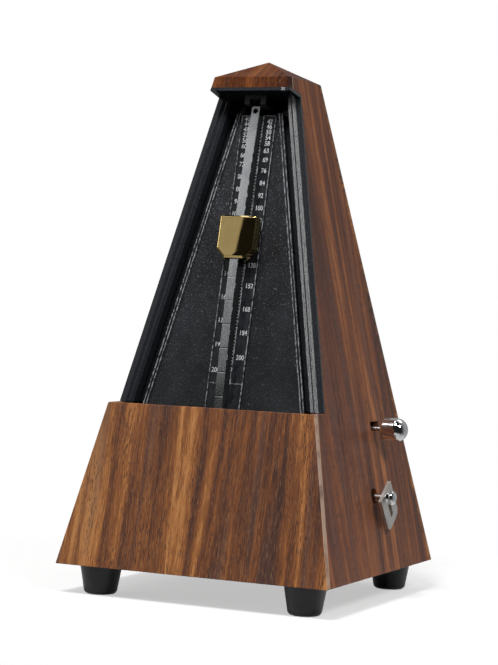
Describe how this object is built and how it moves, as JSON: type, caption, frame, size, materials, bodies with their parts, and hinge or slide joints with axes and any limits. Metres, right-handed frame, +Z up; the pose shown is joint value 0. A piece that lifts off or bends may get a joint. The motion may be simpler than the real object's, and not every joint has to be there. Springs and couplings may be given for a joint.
{
  "type": "mechanical metronome",
  "caption": "Wind-up pyramid metronome with a swinging pendulum, sliding tempo weight, winding key and bell pull.",
  "frame": {"origin": "on the table plane, under the middle of the case's base", "axes": "+Z up; -Y is the front with the dial; +X is the side with the winding key and the bell pull"},
  "size_m": [0.1186, 0.116, 0.2153],
  "materials": {
    "walnut": "walnut-grained foil on board, satin",
    "fibreboard": "dark stained fibreboard, matt",
    "softwood": "plain softwood, matt",
    "black_moulding": "black moulded plastic, satin",
    "dial_black": "black plastic with a pebbled grain",
    "scale_black": "smooth black plastic with silvered raised lines",
    "catch_grey": "dark grey, satin",
    "foot_black": "hard black rubber, satin",
    "brass": "rolled brass, brushed",
    "steel": "turned steel",
    "spring_steel": "blued spring steel",
    "nickel_rod": "nickel-plated strip, brushed along its length",
    "chrome": "chrome plate, polished",
    "nickel_key": "satin nickel plate",
    "bell_metal": "nickel-plated bell steel",
    "cast_lead": "cast grey metal",
    "gold": "polished gold-coloured brass"
  },
  "bodies": {
    "case": {"front_base_panel": "walnut", "left_side_panel": "walnut", "right_side_panel": "walnut", "back_panel": "walnut", "hood": "walnut", "front_frame": "black_moulding", "dial_panel": "dial_black", "scale_plate": "scale_black", "pendulum_catch": "catch_grey", "bottom_plate": "fibreboard", "corner_blocks": "softwood", "foot_front_left": "foot_black", "foot_front_right": "foot_black", "foot_back_left": "foot_black", "foot_back_right": "foot_black", "foot_screws": "steel", "left_movement_plate": "brass", "right_movement_plate": "brass", "movement_pillars": "steel", "movement_screws": "steel", "pendulum_bridge": "brass", "escape_cock": "brass", "bracket_screws": "steel", "click": "steel", "click_spring": "spring_steel", "click_screw": "steel", "bell": "bell_metal", "bell_bracket": "brass", "bell_nut": "steel"},
    "winding_key": {"winding_arbor": "steel", "key_shaft": "chrome", "key_plate": "nickel_key", "key_nut": "chrome", "ratchet_wheel": "steel"},
    "barrel": {"spring_barrel": "brass", "barrel_cover": "brass", "mainspring": "spring_steel", "great_wheel": "brass"},
    "second_set": {"second_arbor": "steel", "second_pinion": "steel", "second_wheel": "brass"},
    "escape_set": {"escape_arbor": "steel", "escape_pinion": "steel", "escape_wheel": "brass"},
    "bell_drum": {"bell_drum_arbor": "steel", "bell_drum_gear": "brass", "bell_cams": "brass"},
    "bell_pull": {"bell_pull_rod": "steel", "bell_pull_knob": "chrome", "hammer_spring": "spring_steel"},
    "bell_hammer": {"hammer": "brass", "hammer_head": "steel"},
    "pendulum": {"pendulum_arbor": "steel", "verge_pallets": "steel", "pendulum_rod": "nickel_rod", "pendulum_hub": "steel", "counterweight": "cast_lead"},
    "weight": {"sliding_weight": "gold", "weight_clip": "steel"}
  },
  "joints": [
    {"name": "barrel_turn", "type": "hinge", "parent": "case", "child": "barrel", "pos_m": [0, 0.0044, 0.0419], "axis": [1, 0, 0], "continuous": true},
    {"name": "winding_turn", "type": "hinge", "parent": "case", "child": "winding_key", "pos_m": [0, 0.0044, 0.0419], "axis": [1, 0, 0], "continuous": true},
    {"name": "second_turn", "type": "hinge", "parent": "case", "child": "second_set", "pos_m": [0, -0.01487, 0.04647], "axis": [1, 0, 0], "continuous": true},
    {"name": "escape_turn", "type": "hinge", "parent": "case", "child": "escape_set", "pos_m": [0, -0.01557, 0.06095], "axis": [1, 0, 0], "continuous": true},
    {"name": "bell_drum_turn", "type": "hinge", "parent": "case", "child": "bell_drum", "pos_m": [0, 0.02357, 0.05532], "axis": [1, 0, 0], "continuous": true},
    {"name": "bell_pull_slide", "type": "slide", "parent": "case", "child": "bell_pull", "axis": [1, 0, 0], "range_m": [0, 0.014]},
    {"name": "hammer_swing", "type": "hinge", "parent": "bell_pull", "child": "bell_hammer", "pos_m": [0, 0.0158, 0.0684], "axis": [1, 0, 0], "range_deg": [-5, 12], "stiffness_Nm_per_rad": 0.01},
    {"name": "pendulum_swing", "type": "hinge", "parent": "case", "child": "pendulum", "pos_m": [0, -0.03709, 0.06552], "axis": [0, 0.9781, -0.2079], "range_deg": [-28, 28]},
    {"name": "weight_slide", "type": "slide", "parent": "pendulum", "child": "weight", "axis": [0, 0.2079, 0.9781], "range_m": [-0.0612, 0.0421]}
  ],
  "couplings": [
    {"joint": "second_turn", "follows": "barrel_turn", "ratio": -4.5},
    {"joint": "escape_turn", "follows": "barrel_turn", "ratio": 21.6},
    {"joint": "bell_drum_turn", "follows": "barrel_turn", "ratio": -2.25}
  ]
}
